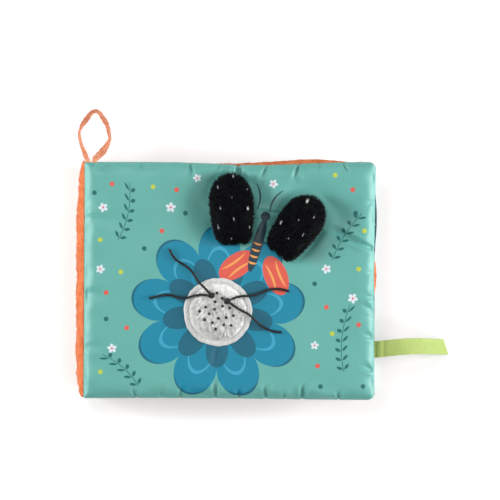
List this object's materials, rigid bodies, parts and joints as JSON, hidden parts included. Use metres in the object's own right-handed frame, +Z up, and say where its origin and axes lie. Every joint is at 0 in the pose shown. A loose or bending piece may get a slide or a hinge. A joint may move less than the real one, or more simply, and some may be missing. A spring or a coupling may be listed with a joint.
{
  "type": "cloth photo album",
  "caption": "Soft padded cloth photo album with turning leaves, clear photo pockets, a velour spine, two liftable plush flaps, a plush patch, loose cords, a hanging loop and a ribbon tag.",
  "frame": {"origin": "middle of the back cover's flat outer face, on which the closed album lies", "axes": "+X from the spine to the fore-edge, +Y from tail to head of the cover, +Z up out of the front cover"},
  "size_m": [0.2545, 0.1998, 0.0442],
  "materials": {
    "teal_satin": "printed polyester satin, soft sheen",
    "orange_velour": "short-pile dotted velour",
    "foam": "polyester wadding",
    "leaf_cotton": "printed plain-weave cotton",
    "binding_cotton": "folded cotton tape",
    "black_plush": "short plush with pale flecks",
    "white_plush": "combed short plush",
    "black_cord": "waxed cotton cord",
    "lime_ribbon": "woven satin ribbon, bare",
    "clear_film": "clear soft film"
  },
  "bodies": {
    "back_cover": {"back_cover_face": "teal_satin", "back_cover_foam": "foam", "back_cover_lining": "orange_velour", "back_cover_window": "clear_film", "back_cover_binding": "binding_cotton"},
    "spine": {"spine_band": "orange_velour", "spine_padding": "foam", "spine_lining": "orange_velour"},
    "front_cover": {"front_cover_face": "teal_satin", "front_cover_foam": "foam", "front_cover_lining": "orange_velour", "front_cover_window": "clear_film", "front_cover_binding": "binding_cotton", "plush_patch": "white_plush", "cord_knot_left": "black_cord", "cord_knot_right": "black_cord", "cord_1": "black_cord", "cord_2": "black_cord", "cord_3": "black_cord", "cord_4": "black_cord"},
    "leaf_1": {"leaf_1_wadding": "foam", "leaf_1_front_panel": "leaf_cotton", "leaf_1_back_panel": "leaf_cotton", "leaf_1_front_window": "clear_film", "leaf_1_back_window": "clear_film", "leaf_1_front_binding": "binding_cotton", "leaf_1_back_binding": "binding_cotton"},
    "leaf_2": {"leaf_2_wadding": "foam", "leaf_2_front_panel": "leaf_cotton", "leaf_2_back_panel": "leaf_cotton", "leaf_2_front_window": "clear_film", "leaf_2_back_window": "clear_film", "leaf_2_front_binding": "binding_cotton", "leaf_2_back_binding": "binding_cotton"},
    "leaf_3": {"leaf_3_wadding": "foam", "leaf_3_front_panel": "leaf_cotton", "leaf_3_back_panel": "leaf_cotton", "leaf_3_front_window": "clear_film", "leaf_3_back_window": "clear_film", "leaf_3_front_binding": "binding_cotton", "leaf_3_back_binding": "binding_cotton"},
    "leaf_4": {"leaf_4_wadding": "foam", "leaf_4_front_panel": "leaf_cotton", "leaf_4_back_panel": "leaf_cotton", "leaf_4_front_window": "clear_film", "leaf_4_back_window": "clear_film", "leaf_4_front_binding": "binding_cotton", "leaf_4_back_binding": "binding_cotton"},
    "left_flap": {"left_flap_plush": "black_plush", "left_flap_filling": "foam", "left_flap_backing": "black_plush"},
    "right_flap": {"right_flap_plush": "black_plush", "right_flap_filling": "foam", "right_flap_backing": "black_plush"},
    "loop": {"hanging_loop": "orange_velour"},
    "tag": {"ribbon_tag": "lime_ribbon"}
  },
  "joints": [
    {"name": "spine_fold", "type": "hinge", "parent": "back_cover", "child": "spine", "pos_m": [-0.1, 0, 0.0045], "axis": [0, -1, 0], "range_deg": [0, 90]},
    {"name": "cover_fold", "type": "hinge", "parent": "spine", "child": "front_cover", "pos_m": [-0.1, 0, 0.0295], "axis": [0, -1, 0], "range_deg": [0, 90]},
    {"name": "leaf_1_turn", "type": "hinge", "parent": "spine", "child": "leaf_1", "pos_m": [-0.09805, 0, 0.0224], "axis": [0, -1, 0], "range_deg": [0, 60]},
    {"name": "leaf_2_turn", "type": "hinge", "parent": "spine", "child": "leaf_2", "pos_m": [-0.09805, 0, 0.0188], "axis": [0, -1, 0], "range_deg": [0, 30]},
    {"name": "leaf_3_turn", "type": "hinge", "parent": "spine", "child": "leaf_3", "pos_m": [-0.09805, 0, 0.0152], "axis": [0, -1, 0], "range_deg": [-30, 0]},
    {"name": "leaf_4_turn", "type": "hinge", "parent": "spine", "child": "leaf_4", "pos_m": [-0.09805, 0, 0.0116], "axis": [0, -1, 0], "range_deg": [-60, 0]},
    {"name": "left_flap_lift", "type": "hinge", "parent": "front_cover", "child": "left_flap", "pos_m": [0.0031, 0.0244, 0.03761], "axis": [0.998, 0.0628, 0], "range_deg": [0, 90]},
    {"name": "right_flap_lift", "type": "hinge", "parent": "front_cover", "child": "right_flap", "pos_m": [0.0322, 0.0179, 0.0377], "axis": [0.808, -0.5892, 0], "range_deg": [0, 90]},
    {"name": "loop_swing", "type": "hinge", "parent": "front_cover", "child": "loop", "pos_m": [-0.0944, 0.0823, 0.0295], "axis": [1, 0, 0], "range_deg": [0, 125]},
    {"name": "tag_swing", "type": "hinge", "parent": "front_cover", "child": "tag", "pos_m": [0.10025, -0.0468, 0.0295], "axis": [0, -1, 0], "range_deg": [0, 110]}
  ],
  "couplings": [
    {"joint": "leaf_1_turn", "follows": "cover_fold", "ratio": 0.6666},
    {"joint": "leaf_2_turn", "follows": "cover_fold", "ratio": 0.3333},
    {"joint": "leaf_3_turn", "follows": "spine_fold", "ratio": -0.3333},
    {"joint": "leaf_4_turn", "follows": "spine_fold", "ratio": -0.6666}
  ]
}
